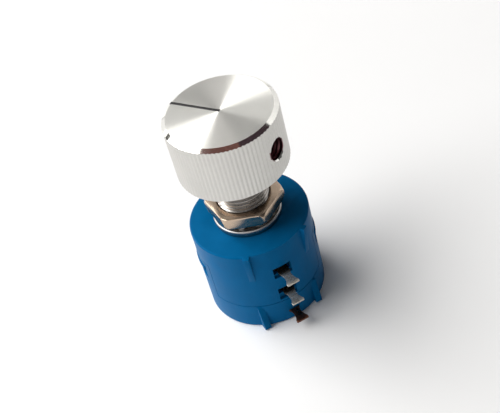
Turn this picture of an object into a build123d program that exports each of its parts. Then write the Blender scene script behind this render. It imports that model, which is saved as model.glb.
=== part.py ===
from build123d import *
from math import cos, radians, sin
import os

# Ten-turn rotary potentiometer with a round plastic housing, a threaded bushing and a knurled
# aluminium knob. Millimetres. Z is the shaft axis, z = 0 is the rear face of the housing, and the
# three solder terminals point along -Y. Azimuths are in degrees from +X, counter-clockwise.

# Housing
BODY_R = 11.1
BODY_H = 19.05
BODY_EDGE = 0.35
PARTING_Z = 5.5
PARTING_GAP = 0.14
PARTING_SEAT_R = 10.6
BORE_R = 9.4
BORE_TOP_Z = 16.6
SKIRT_R = 10.2
SKIRT_Z = 3.6
TERMINAL_SIDE = -90.0

# Shallow tapered panel on the terminal side of the housing, with a wedge-shaped rib at each edge
PANEL_R = 10.9
PANEL_Z = 12.6
RIB_AZIMUTHS = (TERMINAL_SIDE - 30.0, TERMINAL_SIDE + 33.0)
RIB_WIDTH = 1.1
RIB_RISE = 0.7
RIB_ROOT_R = 10.4

# Rear cover
COVER_FLOOR = 1.2
COVER_BORE_R = 10.25
FIN_OFFSETS = (-5.5, 5.5)
FIN_WIDTH = 1.2
FIN_REACH = (9.1, 9.7, 10.85)
FIN_TOP_Z = 5.2
FIN_EDGE = 0.3
PIVOT_BOSS_R = 3.2
PIVOT_BOSS_TOP = 2.8
PIVOT_FLOOR = 0.5

# Snap arms of the rear cover, and the ramps of the housing that they latch over
ARM_AZIMUTHS = (-14.0, 166.0)
ARM_HALF_ANGLE = 26.5
ARM_TOP_Z = 13.9
ARM_WINDOW_HALF_ANGLE = 18.5
ARM_WINDOW_Z = (9.4, 12.7)
ARM_GAP = 0.14
ARM_GAP_ANGLE = 0.7
RAMP_R = 11.3
RAMP_FLAT = 0.6
RAMP_HALF_ANGLE = 17.8

# Bushing, 3/8-32 thread, and the hardware on it
BUSHING_R = 4.7625
BUSHING_HUB_R = 5.6
SHOULDER_R = 6.2
SHOULDER_H = 0.8
BUSHING_LENGTH = 7.94
BUSHING_BORE_R = 3.205
BUSHING_EDGE = 0.4
WASHER_R = 6.35
WASHER_INNER_R = 5.5
WASHER_THICKNESS = 0.6
TOOTH_COUNT = 10
TOOTH_TIP_R = 4.95
TOOTH_WIDTH = 2.0
TOOTH_THICKNESS = 0.45
TOOTH_TWIST = 40.0
TOOTH_OVERLAP = 0.15
NUT_ACROSS_FLATS = 12.7
NUT_THICKNESS = 2.4
NUT_BORE_R = 4.8
NUT_COUNTERSINK = 0.3
NUT_CORNER_R = 7.4
NUT_CORNER_CHAMFER = (0.9, 0.5)
NUT_AZIMUTH = TERMINAL_SIDE + 3.0
NUT_RISE = 1.85
TOOTH_RISE = 0.9
HARDWARE_GAP = 0.03

# Shaft
SHAFT_R = 3.175
SHAFT_LENGTH = 20.62
SHAFT_EDGE = 0.5
SLOT_WIDTH = 1.2
SLOT_DEPTH = 1.6
PIVOT_R = 2.0
PIVOT_Z = 0.6
PIVOT_GAP = 0.03
SHAFT_STEP_Z = 3.7
RING_GROOVE_R = 2.7
RING_R = 4.2
RING_THICKNESS = 0.6
RING_GAP = 0.1
RING_SEAT_GAP = 0.02
RING_OPENING = 60.0

# Rotor, carriage and contacts
ROTOR_R = 7.6
ROTOR_Z = (3.5, 16.4)
CARRIAGE_SIDE = 180.0
GUIDE_Z = (4.0, 15.8)
GUIDE_FLOOR_R = 4.87
GUIDE_WIDTH = 3.1
GUIDE_T_WIDTH = 4.4
GUIDE_T_R = 6.2
RUNNING_GAP = 0.08
CARRIAGE_R = 8.0
CARRIAGE_HEIGHT = 1.5
CONTACT_PAD = (2.0, 1.2, 0.15)
CONTACT_TIP_R = 0.3
SHANK_WIDTH = 0.8
SHANK_HEIGHT = 0.3
SHANK_GAP = 0.03
CONTACT_GAP = 0.04
CONTACT_SEAT = 0.1
SLIP_RING_R = (4.2, 6.6)
SLIP_RING_THICKNESS = 0.3
STRIP_WIDTH = 1.6
STRIP_R = 4.6

# Resistance element: ten turns of round wire, wound right-handed
TURNS = 10
PITCH = 1.0
ELEMENT_R = 8.9
ELEMENT_WIRE_R = 0.45
ELEMENT_Z = 4.9
TURNS_BELOW_REST = 4.75

# Terminals: a lug for each end of the element and one for the collector spring
LUG_THICKNESS = 0.4
LUG_LEVELS = {"terminal_ccw": 12.6, "terminal_cw": 7.35, "terminal_wiper": 2.3}
LUG_OFFSET = 0.25
LUG_R = 14.5
LUG_ROOT_R = 9.72
LUG_WIPER_ROOT_R = 7.2
LUG_WIDTH = 2.2
LUG_END_WIDTH = 2.4
LUG_WAIST = 1.5
LUG_WAIST_R = 12.7
LUG_END_R = 14.05
LUG_SLOT_GAP = 0.02
LUG_SEAT = (6.9, 3.0)
WINDOW_WIDTH = 3.6
WINDOW_LEDGE_R = 10.4
WINDOW_Z = ((11.85, 14.35), (6.05, 9.0))
CLIP_R = (9.42, 9.7)
CLIP_WIDTH = 2.0
CLIP_Z = {"element_clip_ccw": (12.4, 15.3), "element_clip_cw": (4.5, 7.55)}
CLIP_GAP = 0.1
SPRING_WIDTH = 1.6
SPRING_THICKNESS = 0.15
SPRING_TOP = ((9.0, 2.65), (7.1, 2.65), (5.5, 3.14), (4.7, 2.9))

# Knob and its set screw
KNOB_R = 10.1
KNOB_Z = (31.9, 43.6)
KNOB_CHAMFER = (0.8, 0.55)
KNOB_LOWER_EDGE = 0.3
KNOB_RECESS_R = 7.8
KNOB_RECESS_DEPTH = 1.0
KNOB_BORE_R = 3.2
KNOB_BORE_TOP = 41.2
POINTER_AZIMUTH = 127.0
POINTER_WIDTH = 0.6
POINTER_DEPTH = 0.2
SCREW_AZIMUTH = TERMINAL_SIDE + 33.0
SCREW_Z = 37.5
SCREW_HOLE_R = 1.95
SCREW_R = 1.92
SCREW_END_R = 7.7
SCREW_SOCKET = 2.0
SCREW_SOCKET_DEPTH = 1.8

# Heights worked out from the dimensions above
SHOULDER_Z = BODY_H + SHOULDER_H
BUSHING_TOP = SHOULDER_Z + BUSHING_LENGTH
SHAFT_TOP = SHOULDER_Z + SHAFT_LENGTH
TOOTH_CENTRE_Z = SHOULDER_Z + TOOTH_RISE
NUT_Z = SHOULDER_Z + NUT_RISE
RING_Z = BUSHING_TOP + RING_GAP
CARRIAGE_Z = ELEMENT_Z + TURNS_BELOW_REST * PITCH

ON_BASE = (Align.CENTER, Align.CENTER, Align.MIN)
OUTWARD = (Align.MIN, Align.CENTER, Align.MIN)


def disc(radius, low, high):
    """Solid cylinder on the Z axis between two heights."""
    return Pos(0, 0, low) * Cylinder(radius, high - low, align=ON_BASE)


def tube(outer, inner, low, high):
    """Hollow cylinder on the Z axis between two heights."""
    return disc(outer, low, high) - disc(inner, low, high)


def block(near, far, width, low, high, azimuth):
    """Box that reaches from one radius to another in the direction of an azimuth."""
    box = Box(far - near, width, high - low, align=OUTWARD)
    return Rot(0, 0, azimuth) * Pos(near, 0, low) * box


def plate(outline, width, azimuth):
    """Upright radial plate: the outline is in radius and height, the width is its thickness."""
    face = Plane.XZ * make_face(Polyline(*outline, close=True))
    return Rot(0, 0, azimuth) * extrude(face, width / 2, both=True)


def sector(inner, outer, low, high, azimuth, half_angle):
    """Piece of a tube between two azimuths."""
    reach = 2 * outer
    corners = [(0, 0)]
    for angle in (azimuth - half_angle, azimuth, azimuth + half_angle):
        corners.append((reach * cos(radians(angle)), reach * sin(radians(angle))))
    flat = (Circle(outer) - Circle(inner)) & make_face(Polyline(*corners, close=True))
    return Pos(0, 0, low) * extrude(flat, high - low)


def round_rim(body, top, radius):
    """Round the outermost circular edge at the top or the bottom of a body."""
    end = -1 if top else 0
    rim = body.edges().filter_by(GeomType.CIRCLE).group_by(Axis.Z)[end].sort_by(SortBy.RADIUS)[-1]
    return fillet(rim, radius)


def front_housing():
    """Cup that opens to the rear, with the element's bore, the panel and the terminal windows."""
    body = round_rim(disc(BODY_R, PARTING_Z, BODY_H), True, BODY_EDGE)
    body -= panel_recess()
    for azimuth in RIB_AZIMUTHS:
        body += housing_rib(azimuth)
    body -= tube(BODY_R + 1, PARTING_SEAT_R, PARTING_Z, PARTING_Z + PARTING_GAP)
    for azimuth in ARM_AZIMUTHS:
        half_angle = ARM_HALF_ANGLE + ARM_GAP_ANGLE
        body -= sector(SKIRT_R, BODY_R + 1, PARTING_Z, ARM_TOP_Z + ARM_GAP, azimuth, half_angle)
        body += latch_ramp(azimuth)
    body += disc(SKIRT_R, SKIRT_Z, PARTING_Z)
    body -= disc(BORE_R, SKIRT_Z, BORE_TOP_Z)
    body -= disc(BUSHING_HUB_R, BORE_TOP_Z, BODY_H)
    for low, high in WINDOW_Z:
        body -= block(WINDOW_LEDGE_R, BODY_R + 1, WINDOW_WIDTH, low, high, TERMINAL_SIDE)
    for lug, (low, high) in zip(("terminal_ccw", "terminal_cw"), WINDOW_Z):
        ledge_z = LUG_LEVELS[lug] - LUG_THICKNESS / 2
        body -= block(BORE_R - 1, WINDOW_LEDGE_R, WINDOW_WIDTH, ledge_z, high, TERMINAL_SIDE)
    for low, high in CLIP_Z.values():
        far = CLIP_R[1] + CLIP_GAP / 2
        width = CLIP_WIDTH + 2 * CLIP_GAP
        body -= block(BORE_R - 1, far, width, low - CLIP_GAP, high + CLIP_GAP, TERMINAL_SIDE)
    return body


def panel_recess():
    """Material taken off the side between the two ribs, from the front face down."""
    middle = sum(RIB_AZIMUTHS) / 2
    half_angle = (RIB_AZIMUTHS[1] - RIB_AZIMUTHS[0]) / 2
    taper = Pos(0, 0, PANEL_Z) * Cone(BODY_R, PANEL_R, BODY_H - PANEL_Z, align=ON_BASE)
    return sector(RIB_ROOT_R, BODY_R + 1, PANEL_Z, BODY_H, middle, half_angle) - taper


def housing_rib(azimuth):
    """Wedge that is flush with the side at its lower end and proudest at the front face."""
    outline = [(RIB_ROOT_R, PANEL_Z), (BODY_R, PANEL_Z), (BODY_R + RIB_RISE, BODY_H), (RIB_ROOT_R, BODY_H)]
    return plate(outline, RIB_WIDTH, azimuth)


def latch_ramp(azimuth):
    """Ramp that fills the window of a snap arm and stands proud at its upper edge."""
    low = ARM_WINDOW_Z[0] + ARM_GAP
    high = ARM_WINDOW_Z[1] - ARM_GAP
    slope_height = high - RAMP_FLAT - low
    slope = Pos(0, 0, low) * Cone(COVER_BORE_R, RAMP_R, slope_height, align=ON_BASE)
    slope += disc(RAMP_R, high - RAMP_FLAT, high)
    return slope & sector(BORE_R, RAMP_R + 1, low, high, azimuth, RAMP_HALF_ANGLE)


def rear_cover():
    """Shallow cup that closes the rear, with two snap arms, two flared fins and the rear pivot."""
    body = round_rim(disc(BODY_R, 0, PARTING_Z), False, BODY_EDGE)
    for offset in FIN_OFFSETS:
        body += flared_fin(offset)
    body -= disc(COVER_BORE_R, COVER_FLOOR, PARTING_Z)
    for azimuth in ARM_AZIMUTHS:
        body += snap_arm(azimuth)
    body += disc(PIVOT_BOSS_R, COVER_FLOOR, PIVOT_BOSS_TOP)
    body -= disc(PIVOT_R + PIVOT_GAP, PIVOT_FLOOR, PIVOT_BOSS_TOP)
    lug_low = LUG_LEVELS["terminal_wiper"] - LUG_THICKNESS / 2
    lug_high = lug_low + LUG_THICKNESS
    seat_r, seat_width = LUG_SEAT
    seat = block(seat_r, PARTING_SEAT_R, seat_width, COVER_FLOOR, lug_low, TERMINAL_SIDE)
    slot_width = LUG_WIDTH + 2 * LUG_SLOT_GAP
    slot = block(seat_r, BODY_R + 1, slot_width, lug_low, lug_high, TERMINAL_SIDE)
    body += Pos(LUG_OFFSET, 0, 0) * seat
    body -= Pos(LUG_OFFSET, 0, 0) * slot
    return body


def flared_fin(offset):
    """Thin foot beside the terminals that runs out from the side of the cover to the rear face."""
    root, neck, foot = FIN_REACH
    corners = [(root, 0), (foot - FIN_EDGE, 0), (foot, FIN_EDGE), (neck, FIN_TOP_Z), (root, FIN_TOP_Z)]
    return Pos(offset, 0, 0) * plate(corners, FIN_WIDTH, TERMINAL_SIDE)


def snap_arm(azimuth):
    """Arm that runs up the side of the housing, with a window for the latch ramp."""
    arm = sector(COVER_BORE_R, BODY_R, PARTING_Z - 1, ARM_TOP_Z, azimuth, ARM_HALF_ANGLE)
    low, high = ARM_WINDOW_Z
    return arm - sector(COVER_BORE_R - 1, BODY_R + 1, low, high, azimuth, ARM_WINDOW_HALF_ANGLE)


def bushing():
    """Threaded barrel at its major diameter, with a shoulder and a hub held in the front wall."""
    barrel = disc(BUSHING_R, BORE_TOP_Z, BUSHING_TOP)
    barrel = chamfer(barrel.edges().filter_by(GeomType.CIRCLE).group_by(Axis.Z)[-1], BUSHING_EDGE)
    barrel += disc(BUSHING_HUB_R, BORE_TOP_Z, BODY_H)
    barrel += disc(SHOULDER_R, BODY_H, SHOULDER_Z)
    return barrel - disc(BUSHING_BORE_R, BORE_TOP_Z, BUSHING_TOP)


def lock_washer():
    """Flat ring with inward teeth, each twisted about its own radius."""
    low = SHOULDER_Z + HARDWARE_GAP
    ring = tube(WASHER_R, WASHER_INNER_R, low, low + WASHER_THICKNESS)
    tooth_length = WASHER_INNER_R + TOOTH_OVERLAP - TOOTH_TIP_R
    blank = Box(tooth_length, TOOTH_WIDTH, TOOTH_THICKNESS, align=(Align.MIN, Align.CENTER, Align.CENTER))
    tooth = Pos(TOOTH_TIP_R, 0, TOOTH_CENTRE_Z) * Rot(TOOTH_TWIST, 0, 0) * blank
    for index in range(TOOTH_COUNT):
        ring += Rot(0, 0, TERMINAL_SIDE + index * 360 / TOOTH_COUNT) * tooth
    return ring


def hex_nut():
    """Panel nut with its corners turned off at both faces and a countersunk hole."""
    prism = extrude(RegularPolygon(NUT_ACROSS_FLATS / 2, 6, major_radius=False), NUT_THICKNESS)
    prism = Pos(0, 0, NUT_Z) * Rot(0, 0, NUT_AZIMUTH) * prism
    turned = disc(NUT_CORNER_R, NUT_Z, NUT_Z + NUT_THICKNESS)
    turned = chamfer(turned.edges().filter_by(GeomType.CIRCLE), *NUT_CORNER_CHAMFER)
    hole = disc(NUT_BORE_R, NUT_Z, NUT_Z + NUT_THICKNESS)
    nut = (prism & turned) - hole
    rims = nut.edges().filter_by(GeomType.CIRCLE)
    return chamfer(rims.filter_by(lambda edge: edge.radius < NUT_CORNER_R - 1), NUT_COUNTERSINK)


def shaft():
    """Slotted shaft with a rear pivot and a groove for the retaining ring."""
    body = disc(SHAFT_R, SHAFT_STEP_Z, SHAFT_TOP)
    body = chamfer(body.edges().filter_by(GeomType.CIRCLE).group_by(Axis.Z)[-1], SHAFT_EDGE)
    body += disc(PIVOT_R, PIVOT_Z, SHAFT_STEP_Z)
    groove_top = RING_Z + RING_THICKNESS + RING_SEAT_GAP
    body -= tube(SHAFT_R + 1, RING_GROOVE_R, RING_Z - RING_SEAT_GAP, groove_top)
    slot = Box(2 * SHAFT_R + 1, SLOT_WIDTH, 2 * SLOT_DEPTH)
    return body - Pos(0, 0, SHAFT_TOP) * Rot(0, 0, POINTER_AZIMUTH) * slot


def retaining_ring():
    """Open ring that snaps into the groove of the shaft, above the bushing."""
    top = RING_Z + RING_THICKNESS
    ring = tube(RING_R, RING_GROOVE_R + RING_SEAT_GAP, RING_Z, top)
    return ring - sector(1, RING_R + 1, RING_Z, top, POINTER_AZIMUTH, RING_OPENING / 2)


def guide_slot(gap):
    """T-section of the rotor's axial slot, drawn in by a gap for the carriage that runs in it."""
    floor = GUIDE_FLOOR_R + gap
    stem = Pos(floor, 0) * Rectangle(ROTOR_R + 1 - floor, GUIDE_WIDTH - 2 * gap, align=OUTWARD[:2])
    foot = Pos(floor, 0) * Rectangle(GUIDE_T_R - gap - floor, GUIDE_T_WIDTH - 2 * gap, align=OUTWARD[:2])
    return stem + foot


def rotor():
    """Moulded drum fixed to the shaft, with a T-slot that carries the wiper round the element."""
    body = disc(ROTOR_R, *ROTOR_Z)
    slot = Pos(0, 0, GUIDE_Z[0]) * extrude(guide_slot(0), GUIDE_Z[1] - GUIDE_Z[0])
    body -= Rot(0, 0, CARRIAGE_SIDE) * slot
    body -= disc(SHAFT_R, SHAFT_STEP_Z, ROTOR_Z[1])
    body -= disc(PIVOT_R, ROTOR_Z[0], SHAFT_STEP_Z)
    return body - collector_strip()


def collector_strip():
    """Upright leg of the slip ring, flush with the floor of the rotor's slot."""
    return block(STRIP_R, GUIDE_FLOOR_R, STRIP_WIDTH, ROTOR_Z[0], GUIDE_Z[1], CARRIAGE_SIDE)


def slip_ring():
    """Contact ring on the rear face of the rotor, in one piece with the collector strip."""
    inner, outer = SLIP_RING_R
    return tube(outer, inner, ROTOR_Z[0] - SLIP_RING_THICKNESS, ROTOR_Z[0]) + collector_strip()


def contact_shank():
    """Flat tongue through the carriage, from the collector strip to the contact pad."""
    low = CARRIAGE_Z - SHANK_HEIGHT / 2
    near = GUIDE_FLOOR_R + SHANK_GAP
    return block(near, CARRIAGE_R, SHANK_WIDTH, low, low + SHANK_HEIGHT, CARRIAGE_SIDE)


def wiper_carriage():
    """Slider of the rotor's T-slot."""
    section = guide_slot(RUNNING_GAP) & Circle(CARRIAGE_R)
    body = extrude(section, CARRIAGE_HEIGHT)
    body = Rot(0, 0, CARRIAGE_SIDE) * Pos(0, 0, CARRIAGE_Z - CARRIAGE_HEIGHT / 2) * body
    body -= block(CARRIAGE_R - CONTACT_SEAT, CARRIAGE_R + 1, GUIDE_WIDTH, 0, BODY_H, CARRIAGE_SIDE)
    return body - contact_shank()


def wiper_contact():
    """Spring contact: a pad with a rounded tip that rides on the element."""
    width, height, thickness = CONTACT_PAD
    face_r = CARRIAGE_R - CONTACT_SEAT
    low = CARRIAGE_Z - height / 2
    pad = block(face_r, face_r + thickness, width, low, low + height, CARRIAGE_SIDE)
    tip_reach = ELEMENT_R - ELEMENT_WIRE_R - CONTACT_GAP
    tip = Rot(0, 0, CARRIAGE_SIDE) * Pos(tip_reach - CONTACT_TIP_R, 0, CARRIAGE_Z) * Sphere(CONTACT_TIP_R)
    return pad + tip + contact_shank()


def resistance_element():
    """Round element wound in ten right-handed turns against the bore of the housing."""
    path = Helix(pitch=PITCH, height=TURNS * PITCH, radius=ELEMENT_R)
    section = Plane(origin=path @ 0, z_dir=path % 0) * Circle(ELEMENT_WIRE_R)
    return Pos(0, 0, ELEMENT_Z) * Rot(0, 0, TERMINAL_SIDE) * sweep(section, path=path, is_frenet=True)


def element_clip(name):
    """Flat strip that joins one end of the element to its terminal."""
    low, high = CLIP_Z[name]
    return block(*CLIP_R, CLIP_WIDTH, low, high, TERMINAL_SIDE)


def terminal(name):
    """Solder lug cut from flat strip, narrowed between its root and its end."""
    root = LUG_WIPER_ROOT_R if name == "terminal_wiper" else LUG_ROOT_R
    half, waist, end = LUG_WIDTH / 2, LUG_WAIST / 2, LUG_END_WIDTH / 2
    neck_r = BODY_R
    one_side = [Line((root, half), (neck_r, half))]
    one_side.append(ThreePointArc((neck_r, half), (LUG_WAIST_R, waist), (LUG_END_R, end)))
    one_side.append(Line((LUG_END_R, end), (LUG_R, end)))
    outline = Curve() + one_side + [mirror(edge, Plane.XZ) for edge in one_side]
    outline += [Line((root, half), (root, -half)), Line((LUG_R, end), (LUG_R, -end))]
    lug = extrude(make_face(outline), LUG_THICKNESS)
    return Rot(0, 0, TERMINAL_SIDE) * Pos(0, LUG_OFFSET, LUG_LEVELS[name] - LUG_THICKNESS / 2) * lug


def collector_spring():
    """Leaf on the wiper terminal, bent up until its ridge touches the slip ring."""
    upper = list(SPRING_TOP)
    lower = [(radius, height - SPRING_THICKNESS) for radius, height in reversed(upper)]
    return plate(upper + lower, SPRING_WIDTH, TERMINAL_SIDE)


def knob():
    """Solid turned knob with a blind bore, an engraved pointer and a tapped set-screw hole."""
    low, high = KNOB_Z
    inset, drop = KNOB_CHAMFER
    body = disc(KNOB_R, low, high - drop)
    body += Pos(0, 0, high - drop) * Cone(KNOB_R, KNOB_R - inset, drop, align=ON_BASE)
    body = chamfer(body.edges().filter_by(GeomType.CIRCLE).group_by(Axis.Z)[0], KNOB_LOWER_EDGE)
    body -= disc(KNOB_RECESS_R, low, low + KNOB_RECESS_DEPTH)
    body -= disc(KNOB_BORE_R, low, KNOB_BORE_TOP)
    body -= block(0, KNOB_R + 1, POINTER_WIDTH, high - POINTER_DEPTH, high + 1, POINTER_AZIMUTH)
    return body - screw_rod(SCREW_HOLE_R, 0, KNOB_R + 1)


def screw_rod(radius, near, far):
    """Radial cylinder on the axis of the set screw."""
    rod = Rot(0, 90, 0) * Cylinder(radius, far - near, align=ON_BASE)
    return Rot(0, 0, SCREW_AZIMUTH) * Pos(near, 0, SCREW_Z) * rod


def set_screw():
    """Headless screw with a hexagon socket, tightened on the shaft."""
    body = screw_rod(SCREW_R, SHAFT_R, SCREW_END_R)
    hexagon = extrude(RegularPolygon(SCREW_SOCKET / 2, 6, major_radius=False), SCREW_SOCKET_DEPTH)
    socket = Pos(SCREW_END_R - SCREW_SOCKET_DEPTH, 0, SCREW_Z) * Rot(0, 90, 0) * hexagon
    return body - Rot(0, 0, SCREW_AZIMUTH) * socket


def all_parts():
    """Every node by name."""
    parts = {
        "front_housing": front_housing(),
        "rear_cover": rear_cover(),
        "bushing": bushing(),
        "lock_washer": lock_washer(),
        "hex_nut": hex_nut(),
        "shaft": shaft(),
        "retaining_ring": retaining_ring(),
        "rotor": rotor(),
        "slip_ring": slip_ring(),
        "wiper_carriage": wiper_carriage(),
        "wiper_contact": wiper_contact(),
        "resistance_element": resistance_element(),
        "collector_spring": collector_spring(),
        "knob": knob(),
        "set_screw": set_screw(),
    }
    for name in LUG_LEVELS:
        parts[name] = terminal(name)
    for name in CLIP_Z:
        parts[name] = element_clip(name)
    return parts


os.makedirs("parts", exist_ok=True)
for name, shape in all_parts().items():
    shape.label = name
    export_step(shape, f"parts/{name}.step")
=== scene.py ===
import math

import bmesh
import bpy
from bpy.props import FloatProperty, FloatVectorProperty, IntProperty, PointerProperty
from bpy.types import Operator, Panel, PropertyGroup
from mathutils import Matrix, Vector


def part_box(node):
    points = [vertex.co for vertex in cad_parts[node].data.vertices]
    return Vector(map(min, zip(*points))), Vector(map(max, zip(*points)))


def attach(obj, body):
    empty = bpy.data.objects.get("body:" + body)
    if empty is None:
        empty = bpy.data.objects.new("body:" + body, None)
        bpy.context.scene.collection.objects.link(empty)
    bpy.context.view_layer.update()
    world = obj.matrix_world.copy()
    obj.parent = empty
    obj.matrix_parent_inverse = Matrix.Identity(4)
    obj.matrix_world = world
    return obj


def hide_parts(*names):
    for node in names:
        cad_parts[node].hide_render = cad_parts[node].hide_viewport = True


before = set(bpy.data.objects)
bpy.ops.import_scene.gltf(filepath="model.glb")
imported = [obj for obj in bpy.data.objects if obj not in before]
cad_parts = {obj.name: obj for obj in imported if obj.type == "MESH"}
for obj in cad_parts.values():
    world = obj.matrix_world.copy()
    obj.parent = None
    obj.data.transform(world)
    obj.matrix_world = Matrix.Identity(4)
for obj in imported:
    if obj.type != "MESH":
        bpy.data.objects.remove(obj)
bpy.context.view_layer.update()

bl_info = {
    "name": "Ten-Turn Potentiometer",
    "version": (1, 0, 0),
    "blender": (4, 5, 0),
    "location": "3D View > Sidebar > Potentiometer",
    "description": "Finishes and fine detail for a panel potentiometer with a knurled knob",
    "category": "Object",
}

MM = 0.001
UP = Vector((0, 0, 1))

HOUSING = "housing"
SHAFT_ASSEMBLY = "shaft_assembly"

WASHER_GAP = 0.03 * MM
TOOTH_OVERLAP = 0.15 * MM
BORE_CLEARANCE = 0.7 * MM
BEYOND = 1 * MM
FLOOR_GAP = 0.02 * MM
CARD_DISTANCE = 0.5

# Places of the knob's finishes among its materials.
SIDE, FACE, CHAMFER, TAPPED = range(4)

# Cards that only reflections show: azimuths and elevations in degrees, and colour.
CARDS = {
    "brown_card": ((178, 284), (47, 80), (0.15, 0.06, 0.05)),
    "dark_card": ((284, 352), (47, 80), (0.03, 0.013, 0.02)),
    "window_bar": ((122, 129), (15, 60), (0.05, 0.05, 0.05)),
    "pale_card": ((354, 412), (3, 56), (0.5, 0.5, 0.5)),
    "grey_card": ((412, 446), (3, 88), (0.5, 0.5, 0.5)),
}


# ---------------------------------------------------------------- sizes read from the frame

def low_z(node):
    """Height of a node's lowest point."""
    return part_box(node)[0].z


def high_z(node):
    """Height of a node's highest point."""
    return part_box(node)[1].z


def mid_z(node):
    """Height of a node's middle."""
    return (low_z(node) + high_z(node)) / 2


def outer_radius(node):
    """Radius of a node that is round about Z."""
    low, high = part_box(node)
    return (high.x - low.x) / 2


def rim_radius(node, height, pick):
    """Smallest or largest radius among a node's vertices at one height."""
    points = (v.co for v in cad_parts[node].data.vertices)
    return pick(p.xy.length for p in points if abs(p.z - height) < 0.01 * MM)


# ---------------------------------------------------------------- settings

def length(name, description, millimetres):
    """Length property, given in millimetres and kept in metres."""
    return FloatProperty(
        name=name, description=description, default=millimetres * MM, unit="LENGTH", precision=6
    )


def colour(name, description, value):
    """Colour property."""
    return FloatVectorProperty(
        name=name, description=description, default=value, subtype="COLOR", size=3, min=0, max=1
    )


def angle(name, description, degrees):
    """Angle property, given in degrees and kept in radians."""
    return FloatProperty(
        name=name, description=description, default=math.radians(degrees), subtype="ANGLE"
    )


def factor(name, description, value):
    """Number from 0 to 1."""
    return FloatProperty(
        name=name, description=description, default=value, min=0, max=1, subtype="FACTOR"
    )


class PotHousingSettings(PropertyGroup):
    edge: length("Edge radius", "Rounding of the moulded edges", 0.1)
    plastic: colour("Plastic", "Colour of the housing and the rear cover", (0.001, 0.108, 0.275))
    roughness: factor("Roughness", "Gloss of the moulded skin", 0.42)


class PotBushingSettings(PropertyGroup):
    pitch: length("Thread pitch", "Distance from one turn of the thread to the next", 25.4 / 32)
    depth: length("Thread depth", "Height of the thread's flanks", 0.42)
    crest: length("Crest width", "Width of the thread's flat crest", 0.12)
    chamfer: length("Lead-in", "Chamfer at the free end of the barrel", 0.4)
    edge: length("Edge radius", "Rounding of the barrel's turned edges", 0.06)
    segments: IntProperty(name="Segments", description="Facets all round", default=96, min=12)
    nickel: colour("Nickel", "Colour of the plated bushing", (0.36, 0.34, 0.32))


class PotHardwareSettings(PropertyGroup):
    teeth: IntProperty(name="Teeth", description="Teeth inside the lock washer", default=10, min=3)
    tooth_width: length("Tooth width", "Width of a washer tooth", 2.0)
    tooth_thickness: length("Tooth thickness", "Thickness of a washer tooth", 0.45)
    tooth_tip: length("Tooth tip radius", "Distance from the axis to a tooth's tip", 4.95)
    twist: angle("Tooth twist", "Turn of each tooth about its own radius", 40)
    ring_bore: length("Ring bore", "Radius of the hole in the washer's ring", 5.5)
    ring_height: length("Ring height", "Thickness of the washer's ring", 0.6)
    ring_chamfer: length("Ring chamfer", "Chamfer round the washer's upper rim", 0.18)
    edge: length("Edge radius", "Rounding of the edges of the nut and the washer", 0.08)
    nickel: colour("Nickel", "Colour of the plated nut", (0.54, 0.42, 0.32))
    steel: colour("Steel", "Colour of the lock washer", (0.42, 0.41, 0.4))


class PotKnobSettings(PropertyGroup):
    flutes: IntProperty(name="Flutes", description="Flutes round the side", default=86, min=3)
    flute_depth: length("Flute depth", "Depth of a flute below its crests", 0.1)
    chamfer_width: length("Chamfer width", "Width of the polished chamfer round the top", 0.8)
    chamfer_height: length("Chamfer height", "Height of the polished chamfer round the top", 0.55)
    lower_chamfer: length("Lower chamfer", "Chamfer round the lower edge", 0.3)
    recess_depth: length("Recess depth", "Depth of the recess in the underside", 1.0)
    pointer_width: length("Pointer width", "Width of the engraved line", 0.6)
    pointer_depth: length("Pointer depth", "Depth of the engraved line", 0.2)
    pointer_azimuth: angle("Pointer azimuth", "Direction of the engraved line at rest", 127)
    screw_azimuth: angle("Screw azimuth", "Direction of the set screw's hole at rest", -57)
    hole_radius: length("Hole radius", "Radius of the set screw's hole", 1.95)
    screw_pitch: length("Screw pitch", "Pitch of the set screw's thread", 0.7)
    aluminium: colour("Side", "Colour of the knob's satin side", (0.6, 0.59, 0.565))
    brushed: colour("Face", "Colour of the knob's brushed face and chamfer", (0.88, 0.87, 0.82))
    # The dark colour inside the set screw's hole is painted shade.
    hole: colour("Hole", "Colour inside the set screw's hole", (0.2, 0.09, 0.1))
    paint: colour("Pointer paint", "Colour of the pointer line", (0.006, 0.004, 0.006))


class PotTerminalSettings(PropertyGroup):
    edge: length("Edge radius", "Rounding of the lugs' sheared edges", 0.06)
    tin: colour("Tin", "Colour of the tinned lugs", (0.5, 0.47, 0.42))
    # Within this radius the lugs are painted dark: painted shade in the housing's windows.
    painted_shade_radius: length("Painted shade radius", "Radius within which the lugs have no tin", 11.3)
    # The lowest lug is given a dark copper colour, darker than the other two.
    copper: colour("Copper", "Colour of the lowest lug, whose tin is worn off", (0.14, 0.06, 0.04))


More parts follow.
